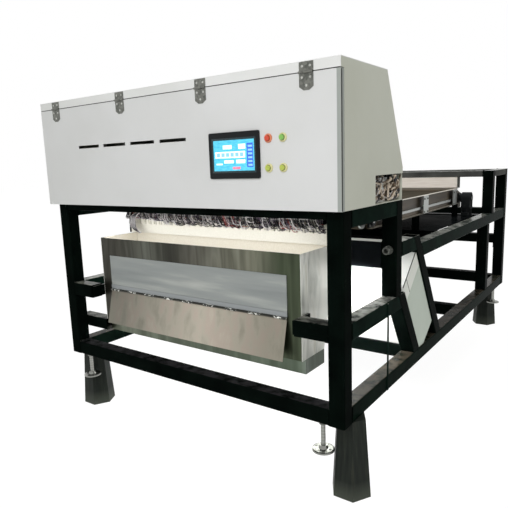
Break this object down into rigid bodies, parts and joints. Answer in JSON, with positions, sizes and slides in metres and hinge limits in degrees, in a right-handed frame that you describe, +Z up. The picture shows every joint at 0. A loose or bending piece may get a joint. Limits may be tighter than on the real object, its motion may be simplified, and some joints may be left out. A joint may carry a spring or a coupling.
{
  "type": "optical colour sorter",
  "caption": "Belt-fed optical colour sorter: sheet-metal camera cabinet with hinged door and touch screen on a black tube frame, air ejector bank and stainless discharge chute.",
  "frame": {"origin": "on the floor, under the middle of the machine's bounding box", "axes": "+Z up, +Y from the operator's door to the feed end, +X to the operator's right"},
  "size_m": [2.084, 3.329, 1.95],
  "materials": {
    "frame_paint": "gloss black enamel on welded steel tube",
    "cabinet_paint": "pale grey powder coat on folded sheet",
    "pedestal_paint": "dark grey satin paint",
    "stainless": "stainless sheet, lightly brushed",
    "zinc": "zinc-plated steel",
    "bright_steel": "turned stainless steel",
    "aluminium": "drawn aluminium",
    "cast_black": "painted casting",
    "belt": "matt conveyor belting",
    "glass": "clear float glass",
    "black_plastic": "moulded plastic, fine grain",
    "screen": "lit display glass",
    "red_plastic": "lit red cap",
    "green_plastic": "lit green cap",
    "yellow_plastic": "lit yellow-green cap",
    "collar_plastic": "moulded collar",
    "ivory_plastic": "moulded valve bodies and bar",
    "lead": "insulated hook-up wire",
    "feed_sheet": "cream sheet"
  },
  "bodies": {
    "frame": {"front_posts": "frame_paint", "middle_posts": "frame_paint", "rear_posts": "frame_paint", "side_rails": "frame_paint", "conveyor_rails": "frame_paint", "bottom_rails": "frame_paint", "cross_rails": "frame_paint", "diagonal_braces": "frame_paint", "conveyor_beams": "frame_paint", "gantry_bars": "frame_paint", "chute_arms": "frame_paint", "air_tank": "frame_paint", "ejector_beam": "frame_paint", "pedestals": "pedestal_paint", "levelling_nuts": "zinc", "lid_hinge_leaves": "zinc", "air_inlet": "zinc", "chute_hinge": "zinc", "conveyor_straps": "zinc", "left_side_panel": "cabinet_paint", "right_side_panel": "cabinet_paint", "cabinet_lid": "cabinet_paint", "rear_panel": "cabinet_paint", "floor_panel": "cabinet_paint", "lamp_housings": "cabinet_paint", "lower_box": "cabinet_paint", "lower_box_end_caps": "cabinet_paint", "inspection_windows": "glass", "camera_beam": "aluminium", "service_fittings": "aluminium", "line_cameras": "black_plastic", "ejector_bar": "ivory_plastic", "valve_bodies": "ivory_plastic", "valve_leads": "lead", "chute_body": "stainless", "chute_front_wall": "stainless", "chute_spout": "stainless", "chute_panel": "stainless", "conveyor_sides": "stainless", "belt_bed": "stainless", "conveyor_belt": "belt", "drum_bearings": "cast_black", "drive_gearmotor": "cast_black", "feed_plate": "feed_sheet"},
    "door": {"front_door": "cabinet_paint", "door_hinge_leaves": "zinc", "hmi_frame": "black_plastic", "hmi_screen": "screen", "button_collars": "collar_plastic"},
    "red_button": {"red_button": "red_plastic"},
    "green_button": {"green_button": "green_plastic"},
    "left_yellow_button": {"left_yellow_button": "yellow_plastic"},
    "right_yellow_button": {"right_yellow_button": "yellow_plastic"},
    "flap": {"chute_flap": "stainless"},
    "head_drum": {"head_drum": "stainless"},
    "tail_drum": {"tail_drum": "stainless"},
    "front_left_foot": {"front_left_foot": "bright_steel"},
    "front_right_foot": {"front_right_foot": "bright_steel"},
    "rear_left_foot": {"rear_left_foot": "bright_steel"},
    "rear_right_foot": {"rear_right_foot": "bright_steel"}
  },
  "joints": [
    {"name": "door_hinge", "type": "hinge", "parent": "frame", "child": "door", "pos_m": [0, -1.6539, 1.9065], "axis": [-1, 0, 0], "range_deg": [0, 95]},
    {"name": "flap_hinge", "type": "hinge", "parent": "frame", "child": "flap", "pos_m": [0, -1.5179, 0.82], "axis": [-1, 0, 0], "range_deg": [0, 75]},
    {"name": "tail_drum_spin", "type": "hinge", "parent": "frame", "child": "tail_drum", "pos_m": [0, 0.9165, 1.2207], "axis": [1, 0, 0], "continuous": true},
    {"name": "head_drum_spin", "type": "hinge", "parent": "frame", "child": "head_drum", "pos_m": [0, -0.8185, 1.2207], "axis": [1, 0, 0], "continuous": true},
    {"name": "red_button_press", "type": "slide", "parent": "door", "child": "red_button", "axis": [0, 1, 0], "range_m": [0, 0.004], "stiffness_N_per_m": 500, "springref_m": -0.002},
    {"name": "green_button_press", "type": "slide", "parent": "door", "child": "green_button", "axis": [0, 1, 0], "range_m": [0, 0.004], "stiffness_N_per_m": 500, "springref_m": -0.002},
    {"name": "left_yellow_button_press", "type": "slide", "parent": "door", "child": "left_yellow_button", "axis": [0, 1, 0], "range_m": [0, 0.004], "stiffness_N_per_m": 500, "springref_m": -0.002},
    {"name": "right_yellow_button_press", "type": "slide", "parent": "door", "child": "right_yellow_button", "axis": [0, 1, 0], "range_m": [0, 0.004], "stiffness_N_per_m": 500, "springref_m": -0.002},
    {"name": "front_left_foot_screw", "type": "slide", "parent": "frame", "child": "front_left_foot", "axis": [0, 0, 1], "range_m": [-0.04, 0.01]},
    {"name": "front_right_foot_screw", "type": "slide", "parent": "frame", "child": "front_right_foot", "axis": [0, 0, 1], "range_m": [-0.04, 0.01]},
    {"name": "rear_left_foot_screw", "type": "slide", "parent": "frame", "child": "rear_left_foot", "axis": [0, 0, 1], "range_m": [-0.04, 0.01]},
    {"name": "rear_right_foot_screw", "type": "slide", "parent": "frame", "child": "rear_right_foot", "axis": [0, 0, 1], "range_m": [-0.04, 0.01]}
  ],
  "couplings": [
    {"joint": "head_drum_spin", "follows": "tail_drum_spin", "ratio": 1}
  ]
}
